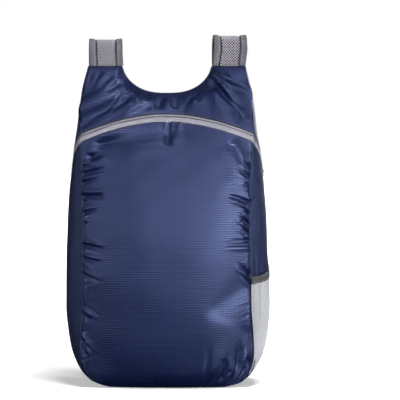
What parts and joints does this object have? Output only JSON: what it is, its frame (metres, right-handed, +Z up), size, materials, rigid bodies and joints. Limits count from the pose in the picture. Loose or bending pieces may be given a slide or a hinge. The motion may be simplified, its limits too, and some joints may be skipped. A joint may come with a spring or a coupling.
{
  "type": "packable backpack",
  "caption": "Light packable backpack standing filled, with an arched front zip, a net side pocket and two mesh shoulder straps.",
  "frame": {"origin": "middle of the flat base, on the floor", "axes": "+Z up along the bag's height, -Y out of the zipped front, +X towards the side with the net pocket"},
  "size_m": [0.2872, 0.158, 0.4844],
  "materials": {
    "ripstop": "navy blue ripstop nylon with a fine square grid and a soft sheen",
    "plain_weave": "dark navy plain-weave nylon",
    "zip_tape": "light grey woven zip tape",
    "hardware": "dark grey moulded plastic",
    "net": "pale grey fine net",
    "elastic": "dark grey ribbed elastic",
    "spacer_mesh": "light grey open spacer mesh",
    "binding": "mid grey twill binding",
    "webbing": "dark grey ribbed webbing"
  },
  "bodies": {
    "root": {"front_panel": "ripstop", "yoke": "ripstop", "side_panel_left": "plain_weave", "side_panel_right": "plain_weave", "back_panel": "plain_weave", "base_panel": "plain_weave", "zip_tape_upper": "zip_tape", "zip_tape_lower": "zip_tape", "zip_slider": "hardware", "pocket_net": "net", "pocket_elastic": "elastic", "strap_mesh_left": "spacer_mesh", "strap_binding_inner_left": "binding", "strap_binding_outer_left": "binding", "strap_buckle_left": "hardware", "strap_webbing_left": "webbing", "strap_mesh_right": "spacer_mesh", "strap_binding_inner_right": "binding", "strap_binding_outer_right": "binding", "strap_buckle_right": "hardware", "strap_webbing_right": "webbing"}
  },
  "joints": []
}
